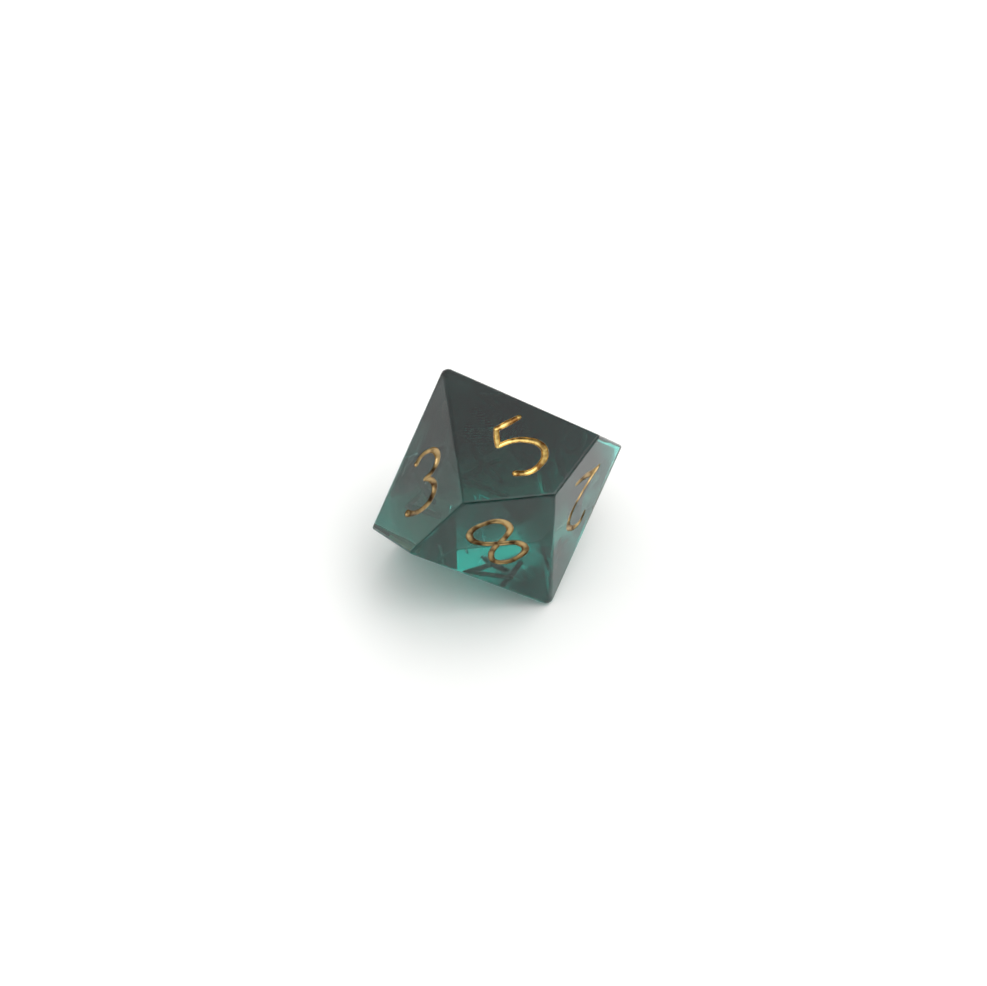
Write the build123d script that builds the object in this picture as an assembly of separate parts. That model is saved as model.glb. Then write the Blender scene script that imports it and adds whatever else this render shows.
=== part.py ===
from build123d import *
import os
from math import atan, cos, pi, radians, sin, tan

# A ten-sided die: a pentagonal trapezohedron of solid glass, whose numerals are engraved
# channels filled with gold lacquer. Millimetres. The die lies on the face opposite the 5.
# +Z is up, out of the 5, and +Y runs along the 5's line of symmetry towards its apex.
# The origin is the middle of the resting face, straight under the die's centre.

# Driving dimensions
FACE_TO_FACE = 16.0      # across two opposite, parallel faces
BELT_ANGLE = 90.0        # between an upper face and the lower face it meets, in degrees
EDGE_RADIUS = 0.3        # easing of every edge and corner
RECESS = 0.08            # from a face down to the top of its gold fill
UNDERLINE_DROP = 6.4     # from a face's middle down to the bar under a 6 or a 9
UNDERLINE_LENGTH = 1.9
UNDERLINE_WIDTH = 0.5

# Numbers on the ten faces in order round the axis. Lower and upper faces alternate, and
# opposite faces add up to nine. The 5 is on top, in place 1.
NUMBERS_ROUND_AXIS = (8, 5, 2, 9, 6, 1, 4, 7, 0, 3)
NEEDS_UNDERLINE = (6, 9)

# Each numeral is drawn by hand, as strokes of a round-nosed tool that cuts half as deep as
# it cuts wide. A stroke has the headings, in degrees, in which the tool sets off and
# arrives, and then (across, up, width) points in the plane of its face, measured from the
# face's middle, with up towards the apex. A stroke that sets off from another one's end
# starts a little slimmer than that end.
RIGHT = 0
UP = 90
LEFT = 180
DOWN = 270
STROKES = {
    0: [
        (179, 1, [
            (0.05, 0.55, 0.44), (-1.05, 0.0, 0.55), (-1.7, -1.3, 0.7), (-1.75, -2.9, 0.75),
            (-1.3, -4.4, 0.65), (0.05, -5.35, 0.44)]),
        (1, 179, [
            (0.05, 0.55, 0.4), (1.15, 0.0, 0.55), (1.75, -1.3, 0.7), (1.8, -2.9, 0.75),
            (1.35, -4.4, 0.65), (0.05, -5.35, 0.4)]),
    ],
    1: [
        (30, 55, [(-1.2, -0.75, 0.35), (-0.4, -0.2, 0.5), (0.25, 0.55, 0.55)]),
        (275, 265, [(0.25, 0.55, 0.5), (0.35, -1.4, 0.6), (0.25, -3.5, 0.65), (0.2, -5.4, 0.5)]),
    ],
    2: [
        (80, 220, [
            (-1.74, -0.5, 0.45), (-1.4, 0.25, 0.6), (-0.5, 0.55, 0.5), (0.6, 0.3, 0.5),
            (1.5, -0.3, 0.6), (1.65, -1.2, 0.6), (1.2, -2.3, 0.5), (0.1, -3.5, 0.5),
            (-1.0, -4.4, 0.5), (-2.1, -5.1, 0.45)]),
        (20, 10, [(-2.1, -5.1, 0.4), (-0.9, -4.9, 0.6), (0.7, -5.05, 0.6), (2.5, -4.85, 0.35)]),
    ],
    3: [
        (60, 200, [
            (-1.5, -0.25, 0.65), (-0.95, 0.35, 0.45), (0.1, 0.65, 0.4), (1.2, 0.4, 0.65),
            (1.75, -0.4, 0.75), (1.3, -1.45, 0.5), (0.2, -2.05, 0.3)]),
        (RIGHT, 150, [
            (0.2, -2.05, 0.26), (1.2, -2.25, 0.5), (2.05, -3.1, 0.75), (1.8, -4.2, 0.65),
            (0.8, -4.9, 0.45), (-0.4, -5.1, 0.45), (-1.55, -4.9, 0.65)]),
    ],
    4: [
        (240, 230, [(0.55, 0.55, 0.5), (-0.4, -1.1, 0.5), (-2.1, -3.5, 0.45)]),
        (RIGHT, 10, [(-2.1, -3.5, 0.4), (-0.7, -3.35, 0.6), (0.8, -3.45, 0.6), (2.3, -3.3, 0.35)]),
        (265, 275, [(1.05, -1.2, 0.5), (0.9, -2.6, 0.65), (0.85, -4.0, 0.65), (0.95, -5.5, 0.4)]),
    ],
    5: [
        (185, LEFT, [(2.3, 0.1, 0.45), (1.1, 0.05, 0.6), (-0.15, 0.0, 0.5)]),
        (240, 250, [(-0.15, 0.0, 0.46), (-0.65, -0.85, 0.5), (-1.1, -1.75, 0.45)]),
        (10, 150, [
            (-1.1, -1.75, 0.4), (0.2, -1.85, 0.5), (1.4, -2.5, 0.6), (2.1, -3.6, 0.65),
            (1.75, -4.75, 0.6), (0.7, -5.45, 0.5), (-0.5, -5.6, 0.5), (-1.5, -5.1, 0.6)]),
    ],
    6: [
        (200, RIGHT, [
            (1.5, 0.35, 0.4), (0.2, 0.15, 0.5), (-1.0, -1.0, 0.6), (-1.65, -2.6, 0.7),
            (-1.3, -4.4, 0.65), (0.1, -5.35, 0.5)]),
        (RIGHT, 215, [
            (0.1, -5.35, 0.46), (1.3, -4.85, 0.6), (1.65, -3.8, 0.6), (1.1, -2.85, 0.5),
            (0.0, -2.55, 0.45), (-1.3, -3.2, 0.4)]),
    ],
    7: [
        (30, 15, [(-1.9, 0.0, 0.4), (-0.7, 0.2, 0.6), (0.6, 0.05, 0.6), (1.9, 0.25, 0.5)]),
        (245, 265, [(1.9, 0.25, 0.46), (1.1, -1.3, 0.5), (0.35, -3.1, 0.6), (-0.05, -5.4, 0.5)]),
    ],
    8: [
        (UP, LEFT, [
            (1.4, -0.4, 0.5), (0.75, 0.45, 0.5), (-0.5, 0.55, 0.5), (-1.65, -0.1, 0.6),
            (-1.6, -1.2, 0.6), (-0.1, -2.2, 0.5), (1.2, -3.15, 0.55), (1.65, -4.2, 0.6),
            (1.2, -5.1, 0.55), (0.1, -5.4, 0.5)]),
        (DOWN, RIGHT, [
            (1.4, -0.4, 0.46), (1.1, -1.3, 0.5), (0.2, -2.1, 0.5), (-0.95, -2.7, 0.5),
            (-1.85, -3.7, 0.6), (-1.45, -5.0, 0.6), (0.1, -5.4, 0.46)]),
    ],
    9: [
        (215, RIGHT, [
            (1.4, -1.7, 0.4), (0.2, -2.45, 0.5), (-1.1, -2.1, 0.6), (-1.6, -1.0, 0.6),
            (-1.1, 0.1, 0.5), (0.1, 0.55, 0.5)]),
        (RIGHT, 215, [
            (0.1, 0.55, 0.46), (1.2, 0.0, 0.6), (1.65, -1.3, 0.7), (1.35, -3.0, 0.7),
            (0.6, -4.4, 0.6), (-0.5, -5.5, 0.4)]),
    ],
}

# The die's own geometry, about its centre
STEP_ANGLE = pi / 5      # between neighbouring corners of the zigzag belt
COS_BELT = cos(radians(BELT_ANGLE))
FACE_SLOPE = atan(((cos(STEP_ANGLE) + COS_BELT) / (1 - COS_BELT)) ** 0.5)
INRADIUS = FACE_TO_FACE / 2
APEX_DISTANCE = INRADIUS / sin(FACE_SLOPE)
BELT_RISE = APEX_DISTANCE * tan(STEP_ANGLE / 2) ** 2
BELT_RADIUS = (INRADIUS + BELT_RISE * sin(FACE_SLOPE)) / cos(FACE_SLOPE)
CENTRE = Vector(0, 0, INRADIUS)
AXIS = Vector(0, cos(FACE_SLOPE), sin(FACE_SLOPE))
TOWARDS_FIVE = Vector(0, -sin(FACE_SLOPE), cos(FACE_SLOPE))
SIDEWAYS = Vector(1, 0, 0)


def apex_side(place):
    """+1 for a face of the upper apex, in an odd place round the axis, -1 for a lower one."""
    return 1 if place % 2 else -1


def belt_direction(place):
    """Unit vector from the axis towards a corner of the belt. Corner 1 is in the 5's middle."""
    turn = (place - 1) * STEP_ANGLE
    return TOWARDS_FIVE * cos(turn) + SIDEWAYS * sin(turn)


def belt_corner(place):
    """Corner of the zigzag belt, where the middle line of the face in that place ends."""
    return CENTRE + belt_direction(place) * BELT_RADIUS - AXIS * (BELT_RISE * apex_side(place))


def face_plane(place):
    """Plane of a face: origin at its middle, X across, Y towards its apex, Z outwards."""
    outward = belt_direction(place)
    side = apex_side(place)
    normal = AXIS * (sin(FACE_SLOPE) * side) + outward * cos(FACE_SLOPE)
    to_apex = AXIS * (cos(FACE_SLOPE) * side) - outward * sin(FACE_SLOPE)
    return Plane(origin=CENTRE + normal * INRADIUS, x_dir=to_apex.cross(normal), z_dir=normal)


def make_block():
    """The solid block: ten kite faces sewn together, with every edge eased."""
    faces = []
    for place in range(10):
        apex = CENTRE + AXIS * (APEX_DISTANCE * apex_side(place))
        corners = [apex, belt_corner(place - 1), belt_corner(place), belt_corner(place + 1)]
        faces.append(Face(Wire.make_polygon(corners)))
    block = Solid(Shell(faces))
    return fillet(block.edges(), EDGE_RADIUS)


def heading(degrees):
    """Unit vector in the plane of a face."""
    return Vector(cos(radians(degrees)), sin(radians(degrees)))


def make_tool_mark(stroke):
    """What the tool cuts along one stroke: a tube through discs, with half-ball ends."""
    set_off, arrive, points = stroke
    places = [(across, up) for across, up, width in points]
    headings = [heading(set_off), heading(arrive)]
    path = Spline(places, tangents=headings, tangent_scalars=[1, 1])
    sections = []
    for across, up, width in points:
        along = path.tangent_at(path.param_at_point(Vector(across, up)))
        sections.append(Plane(origin=(across, up, 0), x_dir=(0, 0, 1), z_dir=along))
    widths = [width for across, up, width in points]
    discs = [section * Circle(width / 2) for section, width in zip(sections, widths)]
    mark = sweep(discs, path=path, multisection=True)
    mark += Solid.make_sphere(widths[-1] / 2, sections[-1], angle1=0, angle2=90)
    mark += Solid.make_sphere(widths[0] / 2, sections[0], angle1=-90, angle2=0)
    return mark


def make_numeral_cut(number):
    """All that the tool takes out for one numeral, in the plane of its face."""
    cut = make_tool_mark(STROKES[number][0])
    for stroke in STROKES[number][1:]:
        cut += make_tool_mark(stroke)
    return cut


def make_underline_cut():
    """The short bar under a numeral that could be read upside down."""
    half = UNDERLINE_LENGTH / 2
    ends = [(-half, -UNDERLINE_DROP, UNDERLINE_WIDTH), (half, -UNDERLINE_DROP, UNDERLINE_WIDTH)]
    return make_tool_mark((RIGHT, RIGHT, ends))


def make_fill(cut):
    """The gold in a cut: it fills the channel up to the recess below the face."""
    room = FACE_TO_FACE
    gold_layer = Pos(0, 0, -RECESS - room / 2) * Box(room, 2 * room, room)
    return cut & gold_layer


def save(node, solid):
    solid.label = node
    export_step(solid, f"parts/{node}.step")


os.makedirs("parts", exist_ok=True)
block = make_block()
for place, number in enumerate(NUMBERS_ROUND_AXIS):
    seat = face_plane(place).location
    cuts = {f"numeral_{number}_inlay": make_numeral_cut(number)}
    if number in NEEDS_UNDERLINE:
        cuts[f"underline_{number}_inlay"] = make_underline_cut()
    for node, cut in cuts.items():
        block -= seat * cut
        save(node, seat * make_fill(cut))
save("glass_body", block)
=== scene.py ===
import math

import bpy
from mathutils import Matrix, Vector


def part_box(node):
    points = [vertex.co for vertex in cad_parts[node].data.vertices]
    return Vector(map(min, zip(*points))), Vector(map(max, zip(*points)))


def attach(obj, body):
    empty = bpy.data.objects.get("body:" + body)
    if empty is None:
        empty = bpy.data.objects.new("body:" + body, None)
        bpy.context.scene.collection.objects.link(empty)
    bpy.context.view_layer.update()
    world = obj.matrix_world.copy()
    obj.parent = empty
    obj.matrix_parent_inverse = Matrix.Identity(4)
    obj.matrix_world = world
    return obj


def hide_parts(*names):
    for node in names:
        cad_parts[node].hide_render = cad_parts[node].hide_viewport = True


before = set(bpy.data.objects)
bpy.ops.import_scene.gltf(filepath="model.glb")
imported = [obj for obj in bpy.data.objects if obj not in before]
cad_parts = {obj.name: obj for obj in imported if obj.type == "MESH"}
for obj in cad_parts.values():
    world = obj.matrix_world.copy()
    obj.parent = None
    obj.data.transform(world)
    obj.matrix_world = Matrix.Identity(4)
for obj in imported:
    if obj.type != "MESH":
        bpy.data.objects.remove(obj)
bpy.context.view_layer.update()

bl_info = {
    "name": "Glass ten-sided die",
    "version": (1, 0, 0),
    "blender": (4, 5, 0),
    "location": "View3D > Sidebar > Die",
    "description": "Makes a clear glass ten-sided die with gold numerals, and its stage",
    "category": "Object",
}

MM = 0.001               # one millimetre in scene units
BODY = "root"            # the die is rigid: every piece rides on its one body
AIR_GAP = 0.02 * MM      # between the polished face it rests on and the card
CARD_HALF = 600 * MM     # half of the card's width
INNER_DETAIL = 3         # ball detail where a hull only bounds the haze or the smoke

# The block lies on its 4 with the 5 on top. These follow from the frame.
LOWEST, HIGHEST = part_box("glass_body")
FACE_TO_FACE = (HIGHEST.z - LOWEST.z) / MM
STEP_ANGLE = math.pi / 5  # between neighbouring corners of the zigzag belt

# Numbers in order round the axis. Lower and upper faces alternate, and the 5 is in place 1.
NUMBERS_ROUND_AXIS = (8, 5, 2, 9, 6, 1, 4, 7, 0, 3)
NEEDS_UNDERLINE = (6, 9)
LIT_NUMBERS = (5,)    # the others get a darker copy of the gold, painted shade for faces away from the lamps
UNDERLINE_HALF = 0.95
UNDERLINE_DROP = 6.4
UNDERLINE_WIDTH = 0.5

# Each numeral's strokes, as in the frame: the headings in degrees in which the round-nosed
# tool sets off and arrives, and (across, up, width) points in millimetres in the plane of
# the face, from the face's middle, with up towards the apex.
RIGHT = 0
UP = 90
LEFT = 180
DOWN = 270
STROKES = {
    0: [
        (LEFT, RIGHT, [
            (0.05, 0.55, 0.44), (-1.05, 0.0, 0.55), (-1.7, -1.3, 0.7), (-1.75, -2.9, 0.75),
            (-1.3, -4.4, 0.65), (0.05, -5.35, 0.44)]),
        (RIGHT, LEFT, [
            (0.05, 0.55, 0.4), (1.15, 0.0, 0.55), (1.75, -1.3, 0.7), (1.8, -2.9, 0.75),
            (1.35, -4.4, 0.65), (0.05, -5.35, 0.4)]),
    ],
    1: [
        (30, 55, [(-1.2, -0.75, 0.35), (-0.4, -0.2, 0.5), (0.25, 0.55, 0.55)]),
        (275, 265, [(0.25, 0.55, 0.5), (0.35, -1.4, 0.6), (0.25, -3.5, 0.65), (0.2, -5.4, 0.5)]),
    ],
    2: [
        (80, 220, [
            (-1.74, -0.5, 0.45), (-1.4, 0.25, 0.6), (-0.5, 0.55, 0.5), (0.6, 0.3, 0.5),
            (1.5, -0.3, 0.6), (1.65, -1.2, 0.6), (1.2, -2.3, 0.5), (0.1, -3.5, 0.5),
            (-1.0, -4.4, 0.5), (-2.1, -5.1, 0.45)]),
        (20, 10, [(-2.1, -5.1, 0.4), (-0.9, -4.9, 0.6), (0.7, -5.05, 0.6), (2.5, -4.85, 0.35)]),
    ],
    3: [
        (60, 200, [
            (-1.5, -0.25, 0.65), (-0.95, 0.35, 0.45), (0.1, 0.65, 0.4), (1.2, 0.4, 0.65),
            (1.75, -0.4, 0.75), (1.3, -1.45, 0.5), (0.2, -2.05, 0.3)]),
        (RIGHT, 150, [
            (0.2, -2.05, 0.26), (1.2, -2.25, 0.5), (2.05, -3.1, 0.75), (1.8, -4.2, 0.65),
            (0.8, -4.9, 0.45), (-0.4, -5.1, 0.45), (-1.55, -4.9, 0.65)]),
    ],
    4: [
        (240, 230, [(0.55, 0.55, 0.5), (-0.4, -1.1, 0.5), (-2.1, -3.5, 0.45)]),
        (RIGHT, 10, [(-2.1, -3.5, 0.4), (-0.7, -3.35, 0.6), (0.8, -3.45, 0.6), (2.3, -3.3, 0.35)]),
        (265, 275, [(1.05, -1.2, 0.5), (0.9, -2.6, 0.65), (0.85, -4.0, 0.65), (0.95, -5.5, 0.4)]),
    ],
    5: [
        (185, LEFT, [(2.3, 0.1, 0.45), (1.1, 0.05, 0.6), (-0.15, 0.0, 0.5)]),
        (240, 250, [(-0.15, 0.0, 0.46), (-0.65, -0.85, 0.5), (-1.1, -1.75, 0.45)]),
        (10, 150, [
            (-1.1, -1.75, 0.4), (0.2, -1.85, 0.5), (1.4, -2.5, 0.6), (2.1, -3.6, 0.65),
            (1.75, -4.75, 0.6), (0.7, -5.45, 0.5), (-0.5, -5.6, 0.5), (-1.5, -5.1, 0.6)]),
    ],
    6: [
        (200, RIGHT, [
            (1.5, 0.35, 0.4), (0.2, 0.15, 0.5), (-1.0, -1.0, 0.6), (-1.65, -2.6, 0.7),
            (-1.3, -4.4, 0.65), (0.1, -5.35, 0.5)]),
        (RIGHT, 215, [
            (0.1, -5.35, 0.46), (1.3, -4.85, 0.6), (1.65, -3.8, 0.6), (1.1, -2.85, 0.5),
            (0.0, -2.55, 0.45), (-1.3, -3.2, 0.4)]),
    ],
    7: [
        (30, 15, [(-1.9, 0.0, 0.4), (-0.7, 0.2, 0.6), (0.6, 0.05, 0.6), (1.9, 0.25, 0.5)]),
        (245, 265, [(1.9, 0.25, 0.46), (1.1, -1.3, 0.5), (0.35, -3.1, 0.6), (-0.05, -5.4, 0.5)]),
    ],
    8: [
        (UP, LEFT, [
            (1.4, -0.4, 0.5), (0.75, 0.45, 0.5), (-0.5, 0.55, 0.5), (-1.65, -0.1, 0.6),
            (-1.6, -1.2, 0.6), (-0.1, -2.2, 0.5), (1.2, -3.15, 0.55), (1.65, -4.2, 0.6),
            (1.2, -5.1, 0.55), (0.1, -5.4, 0.5)]),
        (DOWN, RIGHT, [
            (1.4, -0.4, 0.46), (1.1, -1.3, 0.5), (0.2, -2.1, 0.5), (-0.95, -2.7, 0.5),
            (-1.85, -3.7, 0.6), (-1.45, -5.0, 0.6), (0.1, -5.4, 0.46)]),
    ],
    9: [
        (215, RIGHT, [
            (1.4, -1.7, 0.4), (0.2, -2.45, 0.5), (-1.1, -2.1, 0.6), (-1.6, -1.0, 0.6),
            (-1.1, 0.1, 0.5), (0.1, 0.55, 0.5)]),
        (RIGHT, 215, [
            (0.1, 0.55, 0.46), (1.2, 0.0, 0.6), (1.65, -1.3, 0.7), (1.35, -3.0, 0.7),
            (0.6, -4.4, 0.6), (-0.5, -5.5, 0.4)]),
    ],
}


# Wisps of smoke in the glass, in millimetres from the block's middle as it
# lies: name, place, radii and how much light it swallows for each millimetre.
SMOKE = [
    ("smoke_back", (0, 6, 0), (8, 4, 6), 0.17),
    ("smoke_right", (6, 0, -1), (4, 7, 6), 0.2),
    ("smoke_front", (0, -6, -4), (4, 3, 3), 0.2),
    ("smoke_top", (0, 2, 4), (7, 7, 4), 0.09),
    ("smoke_all_through", (0, 0, 0), (9, 9, 8), 0.04),
]

# Bundles of gas-filled fissures, in the same frame: name, middle, half of the room they take
# up, how many, their length and the width of each, all in millimetres.
FISSURES = [
    ("hairs_behind_8", (-4.6, -4.2, 1.2), (1.5, 0.9, 2.2), 16, 2.2, 0.05),
    ("films_behind_8", (-4.6, -4.6, 0.2), (1.4, 0.8, 1.8), 5, 1.3, 0.4),
]


# Sizes and colours that a user would change

class DieSizes(bpy.types.PropertyGroup):
    belt_angle: bpy.props.FloatProperty(
        name="Belt angle", description="Angle between an upper face and the lower face it meets",
        default=math.radians(90), subtype="ANGLE")
    belt_easing: bpy.props.FloatProperty(
        name="Belt easing", description="Polished radius at the corners of the belt, in mm",
        default=0.27, min=0.05, max=1.5)
    apex_easing: bpy.props.FloatProperty(
        name="Apex easing", description="Polished radius at the two apexes, in mm",
        default=0.7, min=0.05, max=1.5)
    ball_detail: bpy.props.IntProperty(
        name="Ball detail", description="How often the ball at each corner is subdivided",
        default=5, min=1, max=7)
    overlap: bpy.props.FloatProperty(
        name="Overlap", description="How far the lacquer keys into the glass, in mm",
        default=0.012, min=0.0, max=0.05)
    haze: bpy.props.FloatProperty(
        name="Haze", description="Light scattered by fine bubbles, for each mm", default=0.018,
        min=0.0, max=0.5)
    billow: bpy.props.FloatProperty(
        name="Billow", description="How far noise pushes the smoke's outline, in mm",
        default=0.8, min=0.0, max=4.0)
    clear_margin: bpy.props.FloatProperty(
        name="Clear margin", description="From the faces to where smoke may begin, in mm",
        default=0.45, min=0.0, max=3.0)
    recess: bpy.props.FloatProperty(
        name="Recess", description="From a face down to the rim of its gold, in mm",
        default=0.03, min=0.0, max=0.2)
    spread: bpy.props.FloatProperty(
        name="Spread", description="How far polishing rounds a channel outwards, in mm",
        default=0.035, min=0.0, max=0.1)
    rim: bpy.props.FloatProperty(
        name="Rim", description="Width of the primer seen round the gold, in mm",
        default=0.02, min=0.0, max=0.15)
    hollow: bpy.props.FloatProperty(
        name="Hollow", description="How deep the lacquer's top is, as a part of the channel",
        default=0.85, min=0.1, max=0.95)
    tool_step: bpy.props.FloatProperty(
        name="Tool step", description="Distance between two sections of a channel, in mm",
        default=0.06, min=0.02, max=0.5)


class DieColours(bpy.types.PropertyGroup):
    glass: bpy.props.StringProperty(
        name="Glass", description="What a few millimetres of the glass let through",
        default="#00F3ED")
    glass_depth: bpy.props.FloatProperty(
        name="Glass depth", description="Absorption of the glass, for each metre",
        default=268.0, min=0.0)
    gold: bpy.props.StringProperty(
        name="Gold", description="Metallic gold lacquer", default="#E2C276")
    old_gold: bpy.props.StringProperty(
        name="Old gold", description="Where the lacquer is thin or stained", default="#6C4B27")
    # The next two colours are the gold's, made darker: painted shade for the numerals that face
    # away from the lamps.
    shaded_gold: bpy.props.StringProperty(
        name="Shaded gold", description="Gold lacquer darkened as painted shade", default="#B89C6C")
    shaded_old_gold: bpy.props.StringProperty(
        name="Shaded old gold", description="Where the shaded lacquer is thin or stained",
        default="#4A3420")
    primer: bpy.props.StringProperty(
        name="Primer", description="Drab coat under the gold", default="#857A64")
    card: bpy.props.StringProperty(
        name="Card", description="Matt white card under the die", default="#FAFAF8")


class StageSettings(bpy.types.PropertyGroup):
    lamps: bpy.props.FloatVectorProperty(
        name="Lamps", description="Where the tent is brightest", default=(0.35, -0.15, 0.92),
        subtype="DIRECTION")
    narrowness: bpy.props.FloatProperty(
        name="Narrowness", description="How quickly the tent darkens away from the lamps",
        default=8.0, min=0.5)
    lamp_light: bpy.props.FloatProperty(
        name="Lamp light", description="How much brighter the tent is at the lamps",
        default=2.7, min=0.0)
    opening: bpy.props.FloatVectorProperty(
        name="Opening", description="Where the tent is open and dark, at the front",
        default=(-0.5, -0.8, 0.3), subtype="DIRECTION")
    opening_dark: bpy.props.FloatProperty(
        name="Opening dark", description="How much darker the tent's opening is", default=0.7,
        min=0.0)
    tent_light: bpy.props.FloatProperty(
        name="Tent light", description="Brightness of the rest of the tent", default=0.85,
        min=0.0)
    azimuth: bpy.props.FloatProperty(
        name="Azimuth", description="Camera's turn from -Y towards +X",
        default=math.radians(-32.99), subtype="ANGLE")
    elevation: bpy.props.FloatProperty(
        name="Elevation", description="Camera's height above the table, as an angle",
        default=math.radians(50.59), subtype="ANGLE")
    distance: bpy.props.FloatProperty(
        name="Distance", description="From the camera to what it looks at",
        default=160.3 * MM, unit="LENGTH")
    lens: bpy.props.FloatProperty(
        name="Lens", description="Focal length on a 36 mm sensor", default=64.73,
        unit="CAMERA")


# Helpers

def linear(hex_colour):
    """An sRGB hex colour as linear RGBA."""
    digits = hex_colour.lstrip("#")
    channels = [int(digits[i:i + 2], 16) / 255 for i in (0, 2, 4)]
    bent = [c / 12.92 if c <= 0.04045 else ((c + 0.055) / 1.055) ** 2.4 for c in channels]
    return (*bent, 1.0)


def add(tree, kind, sockets=None, **settings):
    """Adds a node. `sockets` maps an input's name or place to a value, a socket or sockets."""
    node = tree.nodes.new(kind)
    for name, value in settings.items():
        setattr(node, name, value)
    for key, value in (sockets or {}).items():
        if isinstance(value, bpy.types.NodeSocket):
            tree.links.new(value, node.inputs[key])
        elif isinstance(value, list):
            for source in value:
                tree.links.new(source, node.inputs[key])
        else:
            node.inputs[key].default_value = value
    return node


def new_tree(name, inputs):
    """A geometry tree with named inputs. Returns it with its input and output nodes."""
    tree = bpy.data.node_groups.new(name, "GeometryNodeTree")
    for label, kind in inputs:
        tree.interface.new_socket(label, in_out="INPUT", socket_type=kind)
    tree.interface.new_socket("Geometry", in_out="OUTPUT", socket_type="NodeSocketGeometry")
    return tree, add(tree, "NodeGroupInput"), add(tree, "NodeGroupOutput")


def grow(name, start, tree, values):
    """Runs a geometry tree on `start` and returns a plain mesh object without a modifier."""
    host = bpy.data.objects.new(name + "_host", start)
    bpy.context.scene.collection.objects.link(host)
    modifier = host.modifiers.new(tree.name, "NODES")
    modifier.node_group = tree
    for item in tree.interface.items_tree:
        if item.in_out == "INPUT" and item.name in values:
            modifier[item.identifier] = values[item.name]
    bpy.context.view_layer.update()
    mesh = bpy.data.meshes.new_from_object(
        host.evaluated_get(bpy.context.evaluated_depsgraph_get()))
    host.modifiers.clear()
    bpy.data.objects.remove(host)
    mesh.name = name
    piece = bpy.data.objects.new(name, mesh)
    bpy.context.scene.collection.objects.link(piece)
    return piece


def finish(piece, node):
    """Rides a finished piece on the die's body and hides the frame's part that it stands for."""
    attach(piece, BODY)
    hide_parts(node)


# The block's geometry, about its centre, in millimetres

def block_shape(sizes):
    """Lengths that follow from the distance across faces and the belt's angle."""
    slope = math.atan(math.sqrt(
        (math.cos(STEP_ANGLE) + math.cos(sizes.belt_angle)) / (1 - math.cos(sizes.belt_angle))))
    inradius = FACE_TO_FACE / 2
    apex = inradius / math.sin(slope)
    rise = apex * math.tan(STEP_ANGLE / 2) ** 2
    belt = (inradius + rise * math.sin(slope)) / math.cos(slope)
    return {"Slope": slope, "Inradius": inradius, "Apex": apex, "Rise": rise, "Belt": belt}


def hull_values(sizes):
    """The hull group's inputs."""
    shape = block_shape(sizes)
    return {"Belt": shape["Belt"], "Rise": shape["Rise"], "Apex": shape["Apex"],
            "Inradius": shape["Inradius"], "Belt Easing": sizes.belt_easing,
            "Apex Easing": sizes.apex_easing}


def lying_down(slope):
    """Turns the upright block, whose axis is Z, so that its 5 is on top, and lifts it."""
    axis = Vector((0, math.cos(slope), math.sin(slope)))
    five = Vector((0, -math.sin(slope), math.cos(slope)))
    turn = Matrix((five, Vector((1, 0, 0)), axis)).transposed().to_4x4()
    return Matrix.Translation((0, 0, FACE_TO_FACE / 2)) @ turn


def face_place(place, slope):
    """A face of the upright block: origin at its middle, X across, Y to its apex, Z outwards."""
    side = 1 if place % 2 else -1
    turn = (place - 1) * STEP_ANGLE
    outward = Vector((math.cos(turn), math.sin(turn), 0))
    axis = Vector((0, 0, 1))
    normal = axis * (math.sin(slope) * side) + outward * math.cos(slope)
    to_apex = axis * (math.cos(slope) * side) - outward * math.sin(slope)
    face = Matrix((to_apex.cross(normal), to_apex, normal)).transposed().to_4x4()
    face.translation = normal * (FACE_TO_FACE / 2)
    return face


# Geometry trees

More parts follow.
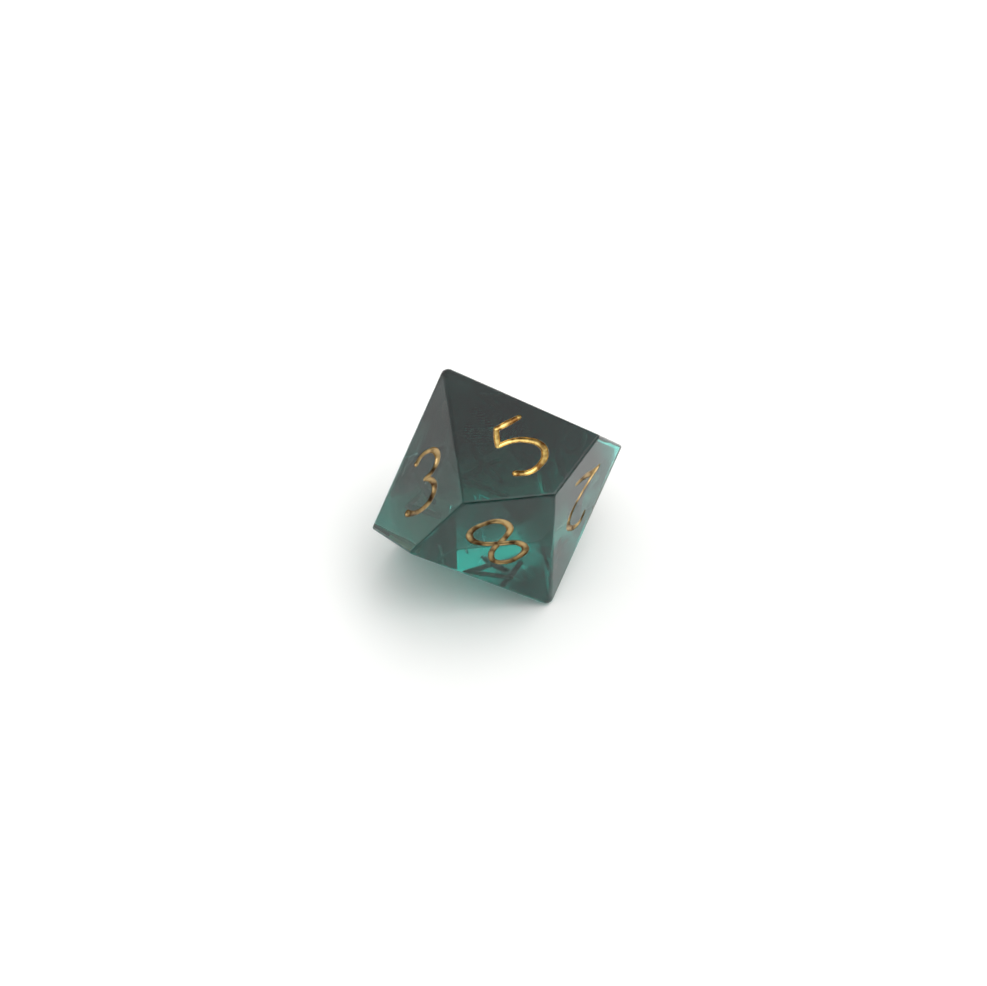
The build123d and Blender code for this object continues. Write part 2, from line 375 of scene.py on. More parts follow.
def tool_mark_tree():
    """Strokes to closed round-ended channels: the curve's radius is the tool's, and it falls
    to nothing at both ends as a ball's does. Grow widens it and Depth flattens it."""
    tree, source, result = new_tree("Tool marks", [
        ("Strokes", "NodeSocketGeometry"), ("Grow", "NodeSocketFloat"),
        ("Depth", "NodeSocketFloat"), ("Step", "NodeSocketFloat")])
    dense = add(tree, "GeometryNodeResampleCurve", {
        "Curve": source.outputs["Strokes"], "Length": source.outputs["Step"]}, mode="LENGTH")
    radius = add(tree, "ShaderNodeMath", {
        0: add(tree, "GeometryNodeInputRadius").outputs[0], 1: source.outputs["Grow"]})
    along = add(tree, "GeometryNodeSplineParameter")
    left = add(tree, "ShaderNodeMath", {
        0: add(tree, "GeometryNodeSplineLength").outputs["Length"],
        1: along.outputs["Length"]}, operation="SUBTRACT")
    nearest = add(tree, "ShaderNodeMath", {
        0: left.outputs[0], 1: along.outputs["Length"]}, operation="MINIMUM")
    part = add(tree, "ShaderNodeMath", {
        0: nearest.outputs[0], 1: radius.outputs[0]}, operation="DIVIDE", use_clamp=True)
    rest = add(tree, "ShaderNodeMath", {0: 2.0, 1: part.outputs[0]}, operation="SUBTRACT")
    square = add(tree, "ShaderNodeMath", {
        0: part.outputs[0], 1: rest.outputs[0]}, operation="MULTIPLY")
    ball = add(tree, "ShaderNodeMath", {0: square.outputs[0]}, operation="SQRT")
    open_tip = add(tree, "ShaderNodeMath", {0: ball.outputs[0], 1: 0.08}, operation="MAXIMUM")
    tapered = add(tree, "ShaderNodeMath", {
        0: radius.outputs[0], 1: open_tip.outputs[0]}, operation="MULTIPLY")
    level = add(tree, "GeometryNodeSetCurveNormal", {"Curve": dense.outputs[0]}, mode="Z_UP")
    section = add(tree, "GeometryNodeCurvePrimitiveCircle", {"Resolution": 24, "Radius": 1.0})
    depth = add(tree, "ShaderNodeCombineXYZ", {0: 1.0, 1: source.outputs["Depth"], 2: 1.0})
    flat = add(tree, "GeometryNodeTransform", {
        "Geometry": section.outputs[0], "Scale": depth.outputs[0]})
    tube = add(tree, "GeometryNodeCurveToMesh", {
        "Curve": level.outputs[0], "Profile Curve": flat.outputs[0],
        "Scale": tapered.outputs[0], "Fill Caps": True})
    joined = add(tree, "GeometryNodeMeshBoolean", {
        "Mesh 2": tube.outputs[0], "Self Intersection": True}, operation="UNION", solver="EXACT")
    tree.links.new(joined.outputs[0], result.inputs[0])
    return tree


def make_strokes(name, strokes):
    """Hand-drawn strokes as a curve: it runs on by half a width at both ends, for the ball."""
    curve = bpy.data.curves.new(name, "CURVE")
    curve.dimensions = "3D"
    curve.resolution_u = 24
    for set_off, arrive, points in strokes:
        first = Vector((math.cos(math.radians(set_off)), math.sin(math.radians(set_off)), 0))
        last = Vector((math.cos(math.radians(arrive)), math.sin(math.radians(arrive)), 0))
        places = [Vector((across, up, 0)) for across, up, width in points]
        widths = [width for across, up, width in points]
        places.insert(0, places[0] - first * widths[0] / 2)
        places.append(places[-1] + last * widths[-1] / 2)
        widths = [widths[0]] + widths + [widths[-1]]
        spline = curve.splines.new("BEZIER")
        spline.bezier_points.add(len(places) - 1)
        for knot, place, width in zip(spline.bezier_points, places, widths):
            knot.co = place
            knot.radius = width / 2
            knot.handle_left_type = "AUTO"
            knot.handle_right_type = "AUTO"
    return curve


def underline_strokes():
    """The short bar under a numeral that could be read upside down."""
    ends = [(-UNDERLINE_HALF, -UNDERLINE_DROP, UNDERLINE_WIDTH),
            (UNDERLINE_HALF, -UNDERLINE_DROP, UNDERLINE_WIDTH)]
    return [(RIGHT, RIGHT, ends)]


def engravings():
    """Each engraving's frame node, its place round the axis, and its strokes."""
    for place, number in enumerate(NUMBERS_ROUND_AXIS):
        yield f"numeral_{number}_inlay", place, STROKES[number]
        if number in NEEDS_UNDERLINE:
            yield f"underline_{number}_inlay", place, underline_strokes()


def shade_by_angle(tree, mesh):
    """Smooth faces whose edges are sharp where they turn by more than 30 degrees."""
    angle = add(tree, "GeometryNodeInputMeshEdgeAngle")
    soft = add(tree, "FunctionNodeCompare", {
        0: angle.outputs["Unsigned Angle"], 1: math.radians(30)}, operation="LESS_THAN")
    smooth = add(tree, "GeometryNodeSetShadeSmooth", {
        "Geometry": mesh, "Shade Smooth": True}, domain="FACE")
    creased = add(tree, "GeometryNodeSetShadeSmooth", {
        "Geometry": smooth.outputs[0], "Shade Smooth": soft.outputs[0]}, domain="EDGE")
    return creased.outputs[0]


def close_tree(tree, source, result, mesh):
    """Realize Instances and Set Material, which end every tree."""
    plain = add(tree, "GeometryNodeRealizeInstances", {0: mesh})
    painted = add(tree, "GeometryNodeSetMaterial", {
        "Geometry": plain.outputs[0], "Material": source.outputs["Material"]})
    tree.links.new(painted.outputs[0], result.inputs[0])


HULL_INPUTS = [
    ("Belt", "NodeSocketFloat"), ("Rise", "NodeSocketFloat"), ("Apex", "NodeSocketFloat"),
    ("Inradius", "NodeSocketFloat"), ("Belt Easing", "NodeSocketFloat"),
    ("Apex Easing", "NodeSocketFloat"), ("Ball Detail", "NodeSocketInt")]


def hull_tree():
    """The trapezohedron's rule: ten belt corners that rise and sink by turns, and two apexes.
    A ball at each, drawn in so that it touches the faces, gives the eased block as a hull."""
    tree, source, result = new_tree("Eased trapezohedron", HULL_INPUTS)
    index = add(tree, "GeometryNodeInputIndex").outputs[0]
    parity = add(tree, "ShaderNodeMath", {0: index, 1: 2.0}, operation="MODULO")
    side = add(tree, "ShaderNodeMath", {0: parity.outputs[0], 1: -2.0, 2: 1.0},
               operation="MULTIPLY_ADD")
    turn = add(tree, "ShaderNodeMath", {0: index, 1: STEP_ANGLE, 2: -STEP_ANGLE},
               operation="MULTIPLY_ADD")
    cosine = add(tree, "ShaderNodeMath", {0: turn.outputs[0]}, operation="COSINE")
    sine = add(tree, "ShaderNodeMath", {0: turn.outputs[0]}, operation="SINE")
    across = add(tree, "ShaderNodeMath", {
        0: cosine.outputs[0], 1: source.outputs["Belt"]}, operation="MULTIPLY")
    along = add(tree, "ShaderNodeMath", {
        0: sine.outputs[0], 1: source.outputs["Belt"]}, operation="MULTIPLY")
    height = add(tree, "ShaderNodeMath", {
        0: side.outputs[0], 1: source.outputs["Rise"]}, operation="MULTIPLY")
    corner = add(tree, "ShaderNodeCombineXYZ", {
        0: across.outputs[0], 1: along.outputs[0], 2: height.outputs[0]})
    peak = add(tree, "ShaderNodeMath", {
        0: side.outputs[0], 1: source.outputs["Apex"]}, operation="MULTIPLY")
    tip = add(tree, "ShaderNodeCombineXYZ", {2: peak.outputs[0]})
    balls = []
    for count, place, easing in ((10, corner, "Belt Easing"), (2, tip, "Apex Easing")):
        part = add(tree, "ShaderNodeMath", {
            0: source.outputs[easing], 1: source.outputs["Inradius"]}, operation="DIVIDE")
        inwards = add(tree, "ShaderNodeMath", {0: 1.0, 1: part.outputs[0]}, operation="SUBTRACT")
        drawn_in = add(tree, "ShaderNodeVectorMath", {
            0: place.outputs[0], "Scale": inwards.outputs[0]}, operation="SCALE")
        points = add(tree, "GeometryNodePoints", {
            "Count": count, "Position": drawn_in.outputs[0]})
        ball = add(tree, "GeometryNodeMeshIcoSphere", {
            "Radius": source.outputs[easing], "Subdivisions": source.outputs["Ball Detail"]})
        balls.append(add(tree, "GeometryNodeInstanceOnPoints", {
            "Points": points.outputs[0], "Instance": ball.outputs["Mesh"]}).outputs[0])
    all_balls = add(tree, "GeometryNodeJoinGeometry", {0: balls})
    real = add(tree, "GeometryNodeRealizeInstances", {0: all_balls.outputs[0]})
    hull = add(tree, "GeometryNodeConvexHull", {0: real.outputs[0]})
    tree.links.new(hull.outputs[0], result.inputs[0])
    return tree


def use_hull(tree, source, hull):
    """Adds the hull's group and wires its inputs to the tree's inputs of the same names."""
    block = add(tree, "GeometryNodeGroup", node_tree=hull)
    for socket in block.inputs:
        tree.links.new(source.outputs[socket.name], socket)
    return block.outputs[0]


def block_tree(hull):
    """The eased block with the tool's channels cut out of it."""
    tree, source, result = new_tree("Engraved block", [
        ("Channels", "NodeSocketObject"), *HULL_INPUTS, ("Material", "NodeSocketMaterial")])
    channels = add(tree, "GeometryNodeObjectInfo", {"Object": source.outputs["Channels"]})
    engraved = add(tree, "GeometryNodeMeshBoolean", {
        "Mesh 1": use_hull(tree, source, hull), "Mesh 2": channels.outputs["Geometry"]},
        operation="DIFFERENCE", solver="EXACT")
    close_tree(tree, source, result, shade_by_angle(tree, engraved.outputs[0]))
    return tree


def haze_tree(hull):
    """A fine haze that fills the block, all but a clear skin under the faces."""
    tree, source, result = new_tree("Haze", [
        ("Room", "NodeSocketFloat"), *HULL_INPUTS, ("Material", "NodeSocketMaterial")])
    room = add(tree, "ShaderNodeCombineXYZ", {axis: source.outputs["Room"] for axis in range(3)})
    smaller = add(tree, "GeometryNodeTransform", {
        "Geometry": use_hull(tree, source, hull), "Scale": room.outputs[0]})
    close_tree(tree, source, result, smaller.outputs[0])
    return tree


def smoke_tree(hull):
    """A wisp of smoke in the melt: a drawn-out ball, billowed by noise, kept inside a copy of
    the block that is a little smaller, so that it stays clear of the faces and channels."""
    tree, source, result = new_tree("Smoke wisp", [
        ("Place", "NodeSocketVector"), ("Radii", "NodeSocketVector"),
        ("Billow", "NodeSocketFloat"), ("Room", "NodeSocketFloat"), ("Turn", "NodeSocketVector"),
        *HULL_INPUTS, ("Material", "NodeSocketMaterial")])
    ball = add(tree, "GeometryNodeMeshIcoSphere", {"Radius": 1.0, "Subdivisions": 5})
    drawn = add(tree, "GeometryNodeTransform", {
        "Geometry": ball.outputs["Mesh"], "Translation": source.outputs["Place"],
        "Scale": source.outputs["Radii"]})
    where = add(tree, "GeometryNodeInputPosition").outputs[0]
    noise = add(tree, "ShaderNodeTexNoise", {"Vector": where, "Scale": 0.35, "Detail": 1.0})
    centred = add(tree, "ShaderNodeVectorMath", {
        0: noise.outputs["Color"], 1: (0.5, 0.5, 0.5)}, operation="SUBTRACT")
    push = add(tree, "ShaderNodeVectorMath", {
        0: centred.outputs[0], "Scale": source.outputs["Billow"]}, operation="SCALE")
    billowed = add(tree, "GeometryNodeSetPosition", {
        "Geometry": drawn.outputs[0], "Offset": push.outputs[0]})
    room = add(tree, "ShaderNodeCombineXYZ", {axis: source.outputs["Room"] for axis in range(3)})
    smaller = add(tree, "GeometryNodeTransform", {
        "Geometry": use_hull(tree, source, hull), "Rotation": source.outputs["Turn"],
        "Scale": room.outputs[0]})
    kept = add(tree, "GeometryNodeMeshBoolean", {
        "Mesh 2": [billowed.outputs[0], smaller.outputs[0]]},
        operation="INTERSECT", solver="EXACT")
    close_tree(tree, source, result, kept.outputs[0])
    return tree


def fissure_tree():
    """Short flat threads scattered through a box, turned at random and bent by noise."""
    tree, source, result = new_tree("Fissures", [
        ("Middle", "NodeSocketVector"), ("Reach", "NodeSocketVector"),
        ("Count", "NodeSocketInt"), ("Length", "NodeSocketFloat"),
        ("Width", "NodeSocketFloat"), ("Seed", "NodeSocketInt"),
        ("Material", "NodeSocketMaterial")])
    spot = add(tree, "FunctionNodeRandomValue", {
        0: (-1.0, -1.0, -1.0), 1: (1.0, 1.0, 1.0), "Seed": source.outputs["Seed"]},
        data_type="FLOAT_VECTOR")
    place = add(tree, "ShaderNodeVectorMath", {
        0: spot.outputs[0], 1: source.outputs["Reach"], 2: source.outputs["Middle"]},
        operation="MULTIPLY_ADD")
    points = add(tree, "GeometryNodePoints", {
        "Count": source.outputs["Count"], "Position": place.outputs[0]})
    end = add(tree, "ShaderNodeCombineXYZ", {0: source.outputs["Length"]})
    thread = add(tree, "GeometryNodeCurvePrimitiveLine", {"End": end.outputs[0]})
    fine = add(tree, "GeometryNodeResampleCurve", {"Curve": thread.outputs[0], "Count": 24})
    turn = add(tree, "FunctionNodeRandomValue", {
        0: (0.0, 0.0, 0.0), 1: (math.tau, math.tau, math.tau),
        "Seed": source.outputs["Seed"]}, data_type="FLOAT_VECTOR")
    size = add(tree, "FunctionNodeRandomValue", {
        2: 0.4, 3: 1.0, "Seed": source.outputs["Seed"]}, data_type="FLOAT")
    threads = add(tree, "GeometryNodeInstanceOnPoints", {
        "Points": points.outputs[0], "Instance": fine.outputs[0],
        "Rotation": turn.outputs[0], "Scale": size.outputs[1]})
    real = add(tree, "GeometryNodeRealizeInstances", {0: threads.outputs[0]})
    where = add(tree, "GeometryNodeInputPosition").outputs[0]
    noise = add(tree, "ShaderNodeTexNoise", {"Vector": where, "Scale": 0.8, "Detail": 2.0})
    push = add(tree, "ShaderNodeVectorMath", {
        0: noise.outputs["Color"], 1: (1.2, 1.2, 1.2), 2: (-0.6, -0.6, -0.6)},
        operation="MULTIPLY_ADD")
    bent = add(tree, "GeometryNodeSetPosition", {
        "Geometry": real.outputs[0], "Offset": push.outputs[0]})
    along = add(tree, "GeometryNodeSplineParameter").outputs["Factor"]
    arch = add(tree, "ShaderNodeMath", {0: along, 1: math.pi}, operation="MULTIPLY")
    swell = add(tree, "ShaderNodeMath", {0: arch.outputs[0]}, operation="SINE")
    wide = add(tree, "ShaderNodeMath", {
        0: swell.outputs[0], 1: source.outputs["Width"], 2: 0.02}, operation="MULTIPLY_ADD")
    ring = add(tree, "GeometryNodeCurvePrimitiveCircle", {"Resolution": 8, "Radius": 0.5})
    flat = add(tree, "GeometryNodeTransform", {
        "Geometry": ring.outputs[0], "Scale": (1.0, 0.05, 1.0)})
    films = add(tree, "GeometryNodeCurveToMesh", {
        "Curve": bent.outputs[0], "Profile Curve": flat.outputs[0],
        "Scale": wide.outputs[0], "Fill Caps": True})
    smooth = add(tree, "GeometryNodeSetShadeSmooth", {"Geometry": films.outputs[0]})
    close_tree(tree, source, result, smooth.outputs[0])
    return tree


def gold_tree(marks):
    """The lacquer in a channel: it keys a little into the glass, ends at the recess below
    the face, and has a hollow top, because it shrinks as it dries."""
    tree, source, result = new_tree("Gold fill", [
        ("Strokes", "NodeSocketGeometry"), ("Overlap", "NodeSocketFloat"),
        ("Recess", "NodeSocketFloat"), ("Rim", "NodeSocketFloat"),
        ("Hollow", "NodeSocketFloat"), ("Step", "NodeSocketFloat"),
        ("Primer", "NodeSocketMaterial"),
        ("Material", "NodeSocketMaterial")])
    outside = add(tree, "GeometryNodeGroup", node_tree=marks)
    inside = add(tree, "GeometryNodeGroup", node_tree=marks)
    shrink = add(tree, "ShaderNodeMath", {0: source.outputs["Rim"], 1: -1.0},
                 operation="MULTIPLY")
    for group, widen, depth in (
            (outside, source.outputs["Overlap"], None),
            (inside, shrink.outputs[0], source.outputs["Hollow"])):
        tree.links.new(source.outputs["Strokes"], group.inputs["Strokes"])
        tree.links.new(source.outputs["Step"], group.inputs["Step"])
        tree.links.new(widen, group.inputs["Grow"])
        if depth is None:
            group.inputs["Depth"].default_value = 1.0
        else:
            tree.links.new(depth, group.inputs["Depth"])
    layer = 4.0  # thicker than any channel is deep
    layer_middle = add(tree, "ShaderNodeMath", {
        0: source.outputs["Recess"], 1: -1.0, 2: -layer / 2}, operation="MULTIPLY_ADD")
    down = add(tree, "ShaderNodeCombineXYZ", {2: layer_middle.outputs[0]})
    block = add(tree, "GeometryNodeMeshCube", {"Size": (30.0, 30.0, layer)})
    below = add(tree, "GeometryNodeTransform", {
        "Geometry": block.outputs["Mesh"], "Translation": down.outputs[0]})
    solids = [add(tree, "GeometryNodeSetMaterial", {
        "Geometry": solid.outputs[0], "Material": source.outputs[paint]}).outputs[0]
        for solid, paint in ((outside, "Primer"), (below, "Primer"), (inside, "Material"))]
    poured = add(tree, "GeometryNodeMeshBoolean", {
        "Mesh 2": solids[:2]}, operation="INTERSECT", solver="EXACT")
    hollowed = add(tree, "GeometryNodeMeshBoolean", {
        "Mesh 1": poured.outputs[0], "Mesh 2": solids[2]},
        operation="DIFFERENCE", solver="EXACT")
    plain = add(tree, "GeometryNodeRealizeInstances", {
        0: shade_by_angle(tree, hollowed.outputs[0])})
    tree.links.new(plain.outputs[0], result.inputs[0])
    return tree


# Materials

def new_material(name):
    material = bpy.data.materials.new(name)
    material.use_nodes = True
    tree = material.node_tree
    tree.nodes.clear()
    return material, tree, add(tree, "ShaderNodeOutputMaterial")


def polished_teal_glass(colours):
    """Cut and polished glass: clear, mirror-smooth, and deep teal because it swallows red."""
    material, tree, output = new_material("polished_teal_glass")
    surface = add(tree, "ShaderNodeBsdfPrincipled", {
        "Base Color": (1.0, 1.0, 1.0, 1.0), "Roughness": 0.01, "IOR": 1.5,
        "Transmission Weight": 1.0})
    inside = add(tree, "ShaderNodeVolumeAbsorption", {
        "Color": linear(colours.glass), "Density": colours.glass_depth})
    tree.links.new(surface.outputs[0], output.inputs["Surface"])
    tree.links.new(inside.outputs[0], output.inputs["Volume"])
    return material


def unseen_skin(tree, output):
    """A surface that neither bends nor mirrors, for what hangs inside the glass."""
    skin = add(tree, "ShaderNodeBsdfPrincipled", {
        "Base Color": (1.0, 1.0, 1.0, 1.0), "Roughness": 0.0, "IOR": 1.0,
        "Transmission Weight": 1.0})
    tree.links.new(skin.outputs[0], output.inputs["Surface"])


def dark_smoke(name, density):
    """Smoke in the melt: it only swallows light, so the block grows dark where it is deep."""
    material, tree, output = new_material(f"dark_{name}")
    unseen_skin(tree, output)
    inside = add(tree, "ShaderNodeVolumeAbsorption", {
        "Color": (0.0, 0.0, 0.0, 1.0), "Density": density / MM})
    tree.links.new(inside.outputs[0], output.inputs["Volume"])
    return material


def fine_haze(sizes):
    """Fine bubbles in the melt: they glow a little, and blur what is on the far side."""
    material, tree, output = new_material("fine_haze")
    unseen_skin(tree, output)
    inside = add(tree, "ShaderNodeVolumeScatter", {
        "Color": (1.0, 1.0, 1.0, 1.0), "Density": sizes.haze / MM, "Anisotropy": 0.6})
    tree.links.new(inside.outputs[0], output.inputs["Volume"])
    return material


def gas_fissure():
    """A gas-filled crack in glass: it mirrors all light by total reflection, and glints."""
    material, tree, output = new_material("gas_filled_fissure")
    surface = add(tree, "ShaderNodeBsdfPrincipled", {
        "Base Color": (0.95, 0.97, 0.97, 1.0), "Metallic": 1.0, "Roughness": 0.15})
    tree.links.new(surface.outputs[0], output.inputs["Surface"])
    return material


def metallic_gold_lacquer(name, gold, stained, roughness):
    """Brushed-in metallic lacquer: bright gold with brown where it is thin, slightly rough.
    Given darker colours and more roughness, it is tan with wider highlights: that copy is painted
    shade for the numerals that face away from the lamps."""
    material, tree, output = new_material(name)
    place = add(tree, "ShaderNodeTexCoord").outputs["Object"]
    stain = add(tree, "ShaderNodeTexNoise", {
        "Vector": place, "Scale": 1 / (0.9 * MM), "Detail": 4.0})
    spread = add(tree, "ShaderNodeValToRGB", {"Fac": stain.outputs["Fac"]})
    spread.color_ramp.elements[0].position = 0.35
    spread.color_ramp.elements[0].color = linear(stained)
    spread.color_ramp.elements[1].position = 0.6
    spread.color_ramp.elements[1].color = linear(gold)
    grain = add(tree, "ShaderNodeTexNoise", {
        "Vector": place, "Scale": 1 / (0.12 * MM), "Detail": 3.0})
    bump = add(tree, "ShaderNodeBump", {
        "Strength": 0.35, "Distance": 0.02 * MM, "Height": grain.outputs["Fac"]})
    surface = add(tree, "ShaderNodeBsdfPrincipled", {
        "Base Color": spread.outputs[0], "Metallic": 1.0, "Roughness": roughness,
        "Normal": bump.outputs[0]})
    tree.links.new(surface.outputs[0], output.inputs["Surface"])
    return material


def drab_primer(colours):
    """Thin matt coat under the gold: through the glass it shows dim, and never golden."""
    material, tree, output = new_material("matt_drab_primer")
    surface = add(tree, "ShaderNodeBsdfPrincipled", {
        "Base Color": linear(colours.primer), "Roughness": 0.6})
    tree.links.new(surface.outputs[0], output.inputs["Surface"])
    return material


def matt_white_card(colours):
    """Photographer's matt white card: even, bright, no shine."""
    material, tree, output = new_material("matt_white_card")
    surface = add(tree, "ShaderNodeBsdfPrincipled", {
        "Base Color": linear(colours.card), "Roughness": 0.9})
    tree.links.new(surface.outputs[0], output.inputs["Surface"])
    return material


# Operators

class DIE_OT_glass_body(bpy.types.Operator):
    """Make the engraved glass block"""
    bl_idname = "die.glass_body"
    bl_label = "Glass body"

    def execute(self, context):
        sizes = context.scene.die_sizes
        shape = block_shape(sizes)
        marks = tool_mark_tree()
        cutters = []
        for node, place, strokes in engravings():
            cut = grow(f"cut_{node}", make_strokes(f"strokes_{node}", strokes), marks,
                       {"Grow": sizes.spread, "Depth": 1.0, "Step": sizes.tool_step})
            cut.data.transform(face_place(place, shape["Slope"]))
            cutters.append(cut)
        channels = join(cutters, "channels")
        piece = grow("die_glass_body", bpy.data.meshes.new("empty"), block_tree(hull_tree()), {
            "Channels": channels, **hull_values(sizes), "Ball Detail": sizes.ball_detail,
            "Material": polished_teal_glass(context.scene.die_colours)})
        bpy.data.objects.remove(channels)
        piece.data.transform(Matrix.Scale(MM, 4) @ lying_down(shape["Slope"]))
        even = piece.modifiers.new("Even normals", "WEIGHTED_NORMAL")
        even.keep_sharp = True
        even.weight = 100
        finish(piece, "glass_body")
        return {"FINISHED"}


class DIE_OT_smoke(bpy.types.Operator):
    """Make the fine haze and the wisps of dark smoke inside the glass"""
    bl_idname = "die.smoke"
    bl_label = "Smoke"

    def execute(self, context):
        sizes = context.scene.die_sizes
        lying = lying_down(block_shape(sizes)["Slope"])
        turn = lying.to_euler()
        hull = hull_tree()
        room = 1 - sizes.clear_margin / (FACE_TO_FACE / 2)
        haze = grow("haze", bpy.data.meshes.new("empty"), haze_tree(hull), {
            "Room": room, **hull_values(sizes), "Ball Detail": INNER_DETAIL,
            "Material": fine_haze(sizes)})
        haze.data.transform(Matrix.Scale(MM, 4) @ lying)
        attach(haze, BODY)
        tree = smoke_tree(hull)
        for name, place, radii, density in SMOKE:
            piece = grow(name, bpy.data.meshes.new("empty"), tree, {
                "Place": place, "Radii": radii, "Billow": sizes.billow,
                "Room": room - 0.01, "Turn": tuple(turn),
                **hull_values(sizes), "Ball Detail": INNER_DETAIL,
                "Material": dark_smoke(name, density)})
            piece.data.transform(
                Matrix.Scale(MM, 4) @ Matrix.Translation((0, 0, FACE_TO_FACE / 2)))
            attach(piece, BODY)
        return {"FINISHED"}


class DIE_OT_fissures(bpy.types.Operator):
    """Make the fine fissures inside the glass"""
    bl_idname = "die.fissures"
    bl_label = "Fissures"

    def execute(self, context):
        tree = fissure_tree()
        gas = gas_fissure()
        for seed, (name, middle, reach, count, length, width) in enumerate(FISSURES):
            piece = grow(name, bpy.data.meshes.new("empty"), tree, {
                "Middle": middle, "Reach": reach, "Count": count, "Length": length,
                "Width": width, "Seed": seed, "Material": gas})
            piece.data.transform(
                Matrix.Scale(MM, 4) @ Matrix.Translation((0, 0, FACE_TO_FACE / 2)))
            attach(piece, BODY)
        return {"FINISHED"}


class DIE_OT_gold_numerals(bpy.types.Operator):
    """Make the gold fill of every numeral and underline"""
    bl_idname = "die.gold_numerals"
    bl_label = "Gold numerals"

    def execute(self, context):
        sizes = context.scene.die_sizes
        slope = block_shape(sizes)["Slope"]
        tree = gold_tree(tool_mark_tree())
        colours = context.scene.die_colours
        bright = metallic_gold_lacquer(
            "metallic_gold_lacquer", colours.gold, colours.old_gold, 0.22)
        # A darker, rougher copy of the same lacquer: painted shade for every numeral but the top
        # one.
        shaded = metallic_gold_lacquer(
            "shaded_gold_lacquer", colours.shaded_gold, colours.shaded_old_gold, 0.3)
        primer = drab_primer(colours)
        for node, place, strokes in engravings():
            # The top numeral keeps the gold as it is; the rest get the copy with painted shade.
            gold = bright if NUMBERS_ROUND_AXIS[place] in LIT_NUMBERS else shaded
            piece = grow(f"gold_{node}", make_strokes(f"strokes_{node}", strokes), tree, {
                "Overlap": sizes.spread + sizes.overlap, "Recess": sizes.recess,
                "Rim": sizes.rim - sizes.spread, "Hollow": sizes.hollow,
                "Step": sizes.tool_step, "Primer": primer, "Material": gold})
            piece.data.transform(
                Matrix.Scale(MM, 4) @ lying_down(slope) @ face_place(place, slope))
            finish(piece, node)
        return {"FINISHED"}


class DIE_OT_stage(bpy.types.Operator):
    """Make the white card, the soft light and the camera"""
    bl_idname = "die.stage"
    bl_label = "Stage"

    def execute(self, context):
        scene = context.scene
        settings = scene.die_stage
        middle = Vector((0, 0, FACE_TO_FACE / 2 * MM))
        make_card(scene.die_colours)
        make_light(settings)
        make_camera(settings, middle)
        scene.view_settings.view_transform = "Standard"
        scene.cycles.max_bounces = 40
        scene.cycles.transmission_bounces = 36
        scene.cycles.glossy_bounces = 16
        scene.cycles.volume_bounces = 4
        return {"FINISHED"}


def join(pieces, name):
    """One object from several, by adding their meshes up."""
    host = bpy.data.objects.new(name, bpy.data.meshes.new(name))
    bpy.context.scene.collection.objects.link(host)
    bpy.ops.object.select_all(action="DESELECT")
    for piece in [*pieces, host]:
        piece.select_set(True)
    bpy.context.view_layer.objects.active = host
    bpy.ops.object.join()
    return host


def make_card(colours):
    card = bpy.data.meshes.new("card")
    half = CARD_HALF
    corners = [(-half, -half, 0), (half, -half, 0), (half, half, 0), (-half, half, 0)]
    card.from_pydata(corners, [], [(0, 1, 2, 3)])
    card.materials.append(matt_white_card(colours))
    floor = bpy.data.objects.new("card", card)
    floor.location.z = -AIR_GAP
    bpy.context.scene.collection.objects.link(floor)


def make_light(settings):
    """A white light tent: even all round, and brighter towards the lamps above it."""
    world = bpy.data.worlds.new("white_tent")
    bpy.context.scene.world = world
    world.use_nodes = True
    tree = world.node_tree
    tree.nodes.clear()
    output = add(tree, "ShaderNodeOutputWorld")
    way = add(tree, "ShaderNodeTexCoord").outputs["Generated"]
    lamps = Vector(settings.lamps).normalized()
    facing = add(tree, "ShaderNodeVectorMath", {0: way, 1: lamps}, operation="DOT_PRODUCT")
    above = add(tree, "ShaderNodeMath", {0: facing.outputs["Value"], 1: 0.0},
                operation="MAXIMUM")
    glow = add(tree, "ShaderNodeMath", {0: above.outputs[0], 1: settings.narrowness},
               operation="POWER")
    level = add(tree, "ShaderNodeMath", {
        0: glow.outputs[0], 1: settings.lamp_light, 2: settings.tent_light},
        operation="MULTIPLY_ADD")
    opening = Vector(settings.opening).normalized()
    ahead = add(tree, "ShaderNodeVectorMath", {0: way, 1: opening}, operation="DOT_PRODUCT")
    in_front = add(tree, "ShaderNodeMath", {0: ahead.outputs["Value"], 1: 0.0},
                   operation="MAXIMUM")
    gap = add(tree, "ShaderNodeMath", {0: in_front.outputs[0], 1: 2.0}, operation="POWER")
    darker = add(tree, "ShaderNodeMath", {
        0: gap.outputs[0], 1: -settings.opening_dark, 2: level.outputs[0]},
        operation="MULTIPLY_ADD")
    floor_level = add(tree, "ShaderNodeMath", {0: darker.outputs[0], 1: 0.05},
                      operation="MAXIMUM")
    sky = add(tree, "ShaderNodeBackground", {
        "Color": (1.0, 1.0, 1.0, 1.0), "Strength": floor_level.outputs[0]})
    tree.links.new(sky.outputs[0], output.inputs["Surface"])


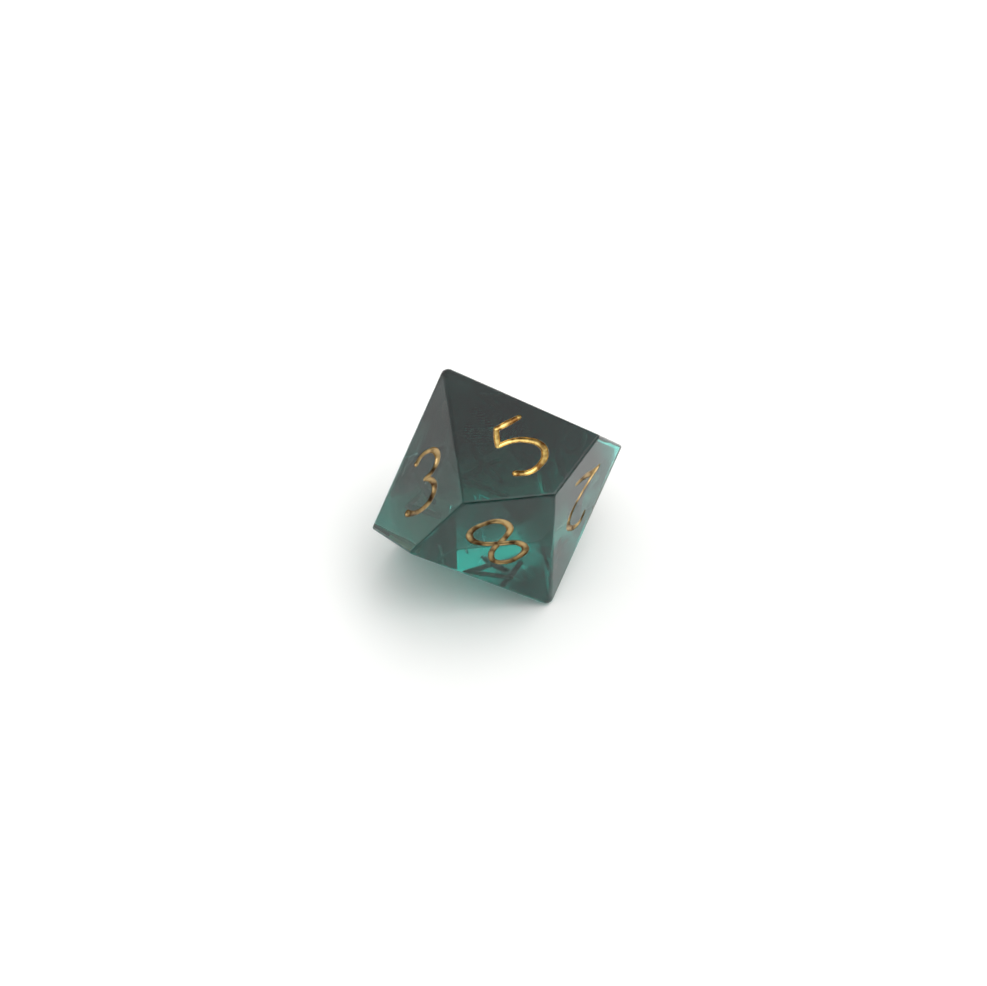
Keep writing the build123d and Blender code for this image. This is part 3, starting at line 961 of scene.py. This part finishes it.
def make_camera(settings, middle):
    """A level camera. The die sits a little above and right of the picture's middle."""
    lens = bpy.data.cameras.new("camera")
    lens.lens = settings.lens
    lens.sensor_width = 36.0
    lens.clip_start = 0.01
    flat = math.cos(settings.elevation)
    towards = Vector((
        math.sin(settings.azimuth) * flat, -math.cos(settings.azimuth) * flat,
        math.sin(settings.elevation)))
    aim = middle + Vector((-0.529, -0.151, -0.341)) * MM
    camera = bpy.data.objects.new("camera", lens)
    camera.location = aim + towards * settings.distance
    camera.rotation_euler = towards.to_track_quat("Z", "Y").to_euler()
    bpy.context.scene.collection.objects.link(camera)
    bpy.context.scene.camera = camera


class DIE_PT_panel(bpy.types.Panel):
    bl_idname = "DIE_PT_panel"
    bl_label = "Ten-sided die"
    bl_space_type = "VIEW_3D"
    bl_region_type = "UI"
    bl_category = "Die"

    def draw(self, context):
        layout = self.layout
        scene = context.scene
        for group in (scene.die_sizes, scene.die_colours, scene.die_stage):
            box = layout.box()
            for name in group.bl_rna.properties.keys():
                if name not in ("rna_type", "name"):
                    box.prop(group, name)
        for operator in OPERATORS:
            layout.operator(operator.bl_idname)


OPERATORS = (
    DIE_OT_stage, DIE_OT_glass_body, DIE_OT_smoke, DIE_OT_fissures, DIE_OT_gold_numerals)
GROUPS = {"die_sizes": DieSizes, "die_colours": DieColours, "die_stage": StageSettings}


def register():
    for group in GROUPS.values():
        bpy.utils.register_class(group)
    for name, group in GROUPS.items():
        setattr(bpy.types.Scene, name, bpy.props.PointerProperty(type=group))
    for operator in OPERATORS:
        bpy.utils.register_class(operator)
    bpy.utils.register_class(DIE_PT_panel)


def unregister():
    bpy.utils.unregister_class(DIE_PT_panel)
    for operator in reversed(OPERATORS):
        bpy.utils.unregister_class(operator)
    for name in GROUPS:
        delattr(bpy.types.Scene, name)
    for group in GROUPS.values():
        bpy.utils.unregister_class(group)


def main():
    register()
    bpy.ops.die.stage()
    bpy.ops.die.glass_body()
    bpy.ops.die.smoke()
    bpy.ops.die.fissures()
    bpy.ops.die.gold_numerals()


if __name__ == "__main__":
    main()
